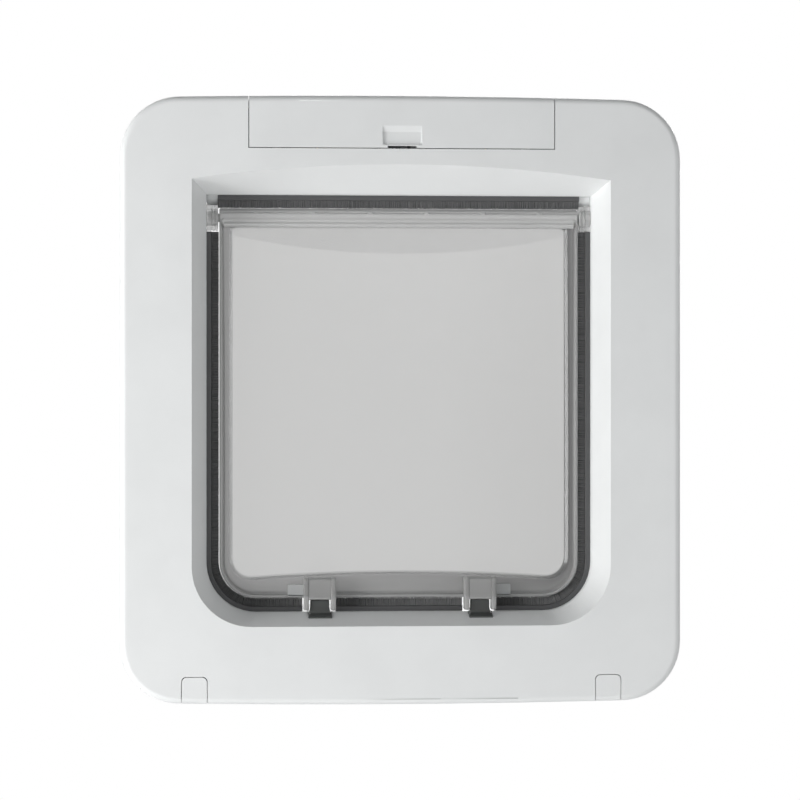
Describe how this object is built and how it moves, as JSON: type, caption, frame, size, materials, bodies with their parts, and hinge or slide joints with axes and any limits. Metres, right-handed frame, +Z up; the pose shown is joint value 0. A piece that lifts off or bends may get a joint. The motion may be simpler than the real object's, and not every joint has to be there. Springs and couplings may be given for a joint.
{
  "type": "cat flap",
  "caption": "Chip-reading cat flap for a door: pale room-side frame with a scooped recess, clear swinging flap, dark brush seal and lock catches, and an outdoor frame with its sleeve.",
  "frame": {"origin": "middle of the room-side frame, on the plane that lies against the door's room face", "axes": "+X to the right as seen from the room, +Y from the room to the outdoors, +Z up"},
  "size_m": [0.263, 0.088, 0.285],
  "materials": {
    "white_plastic": "moulded, fine satin grain",
    "clear_plastic": "clear moulding, lightly hazed",
    "bush_plastic": "translucent grey moulding",
    "brush": "short dark bristles in a holder",
    "dark_plastic": "moulded, satin",
    "grey_plastic": "moulded, satin",
    "magnet_pad": "pale jacket over a magnet",
    "magnet_steel": "plated magnet",
    "motor_steel": "plated can",
    "screw_steel": "zinc plated",
    "contact_brass": "plated spring metal",
    "cell_jacket": "plain shrunk jacket",
    "circuit_board": "lacquered board",
    "coil_winding": "lacquered copper winding",
    "button_plastic": "moulded"
  },
  "bodies": {
    "frame": {"antenna_coil": "coil_winding", "battery_left_inner": "cell_jacket", "battery_left_outer": "cell_jacket", "battery_right_inner": "cell_jacket", "battery_right_outer": "cell_jacket", "brush_left": "brush", "brush_right": "brush", "catch_guide_left": "dark_plastic", "catch_guide_right": "dark_plastic", "clamp_screws": "screw_steel", "contact_plate_left": "contact_brass", "contact_plate_right": "contact_brass", "contact_spring_left": "contact_brass", "contact_spring_right": "contact_brass", "exterior_frame": "white_plastic", "hinge_bush_left": "bush_plastic", "hinge_bush_right": "bush_plastic", "interior_frame": "white_plastic", "lock_housing": "grey_plastic", "lock_motor": "motor_steel", "main_board": "circuit_board", "rear_cover": "white_plastic", "settings_board": "circuit_board", "sill_brush": "brush", "sill_magnet_left": "magnet_steel", "sill_magnet_right": "magnet_steel", "top_brush": "brush"},
    "flap": {"flap": "clear_plastic", "catch_pocket_left": "clear_plastic", "catch_pocket_right": "clear_plastic", "flap_magnet_left": "magnet_pad", "flap_magnet_right": "magnet_pad"},
    "battery_cover": {"battery_cover": "white_plastic"},
    "screw_cover_left": {"screw_cover_left": "white_plastic"},
    "screw_cover_right": {"screw_cover_right": "white_plastic"},
    "lock_pinion": {"lock_pinion": "grey_plastic"},
    "lock_bar": {"lock_bar": "grey_plastic"},
    "catch_left": {"catch_left": "dark_plastic"},
    "catch_right": {"catch_right": "dark_plastic"},
    "settings_button_left": {"settings_button_left": "button_plastic"},
    "settings_button_right": {"settings_button_right": "button_plastic"}
  },
  "joints": [
    {"name": "flap_hinge", "type": "hinge", "parent": "frame", "child": "flap", "pos_m": [0, -0.007, 0.0865], "axis": [1, 0, 0], "range_deg": [-80, 80]},
    {"name": "bar_slide", "type": "slide", "parent": "frame", "child": "lock_bar", "axis": [1, 0, 0], "range_m": [0, 0.014]},
    {"name": "pinion_spin", "type": "hinge", "parent": "frame", "child": "lock_pinion", "pos_m": [0, -0.0184, -0.1319], "axis": [0, 1, 0], "range_deg": [0, 160.9]},
    {"name": "catch_left_lift", "type": "slide", "parent": "frame", "child": "catch_left", "axis": [0, 0, 1], "range_m": [0, 0.00802]},
    {"name": "catch_right_lift", "type": "slide", "parent": "frame", "child": "catch_right", "axis": [0, 0, 1], "range_m": [0, 0.00802]},
    {"name": "battery_cover_pull", "type": "slide", "parent": "frame", "child": "battery_cover", "axis": [0, -1, 0], "range_m": [0, 0.04]},
    {"name": "screw_cover_left_pull", "type": "slide", "parent": "frame", "child": "screw_cover_left", "axis": [0, -1, 0], "range_m": [0, 0.015]},
    {"name": "screw_cover_right_pull", "type": "slide", "parent": "frame", "child": "screw_cover_right", "axis": [0, -1, 0], "range_m": [0, 0.015]},
    {"name": "settings_button_left_push", "type": "slide", "parent": "frame", "child": "settings_button_left", "axis": [0, 1, 0], "range_m": [0, 0.001], "stiffness_N_per_m": 300},
    {"name": "settings_button_right_push", "type": "slide", "parent": "frame", "child": "settings_button_right", "axis": [0, 1, 0], "range_m": [0, 0.001], "stiffness_N_per_m": 300}
  ],
  "couplings": [
    {"joint": "pinion_spin", "follows": "bar_slide", "rad_per_m": 200},
    {"joint": "catch_left_lift", "follows": "bar_slide", "ratio": 0.57143},
    {"joint": "catch_right_lift", "follows": "bar_slide", "ratio": 0.57143}
  ]
}
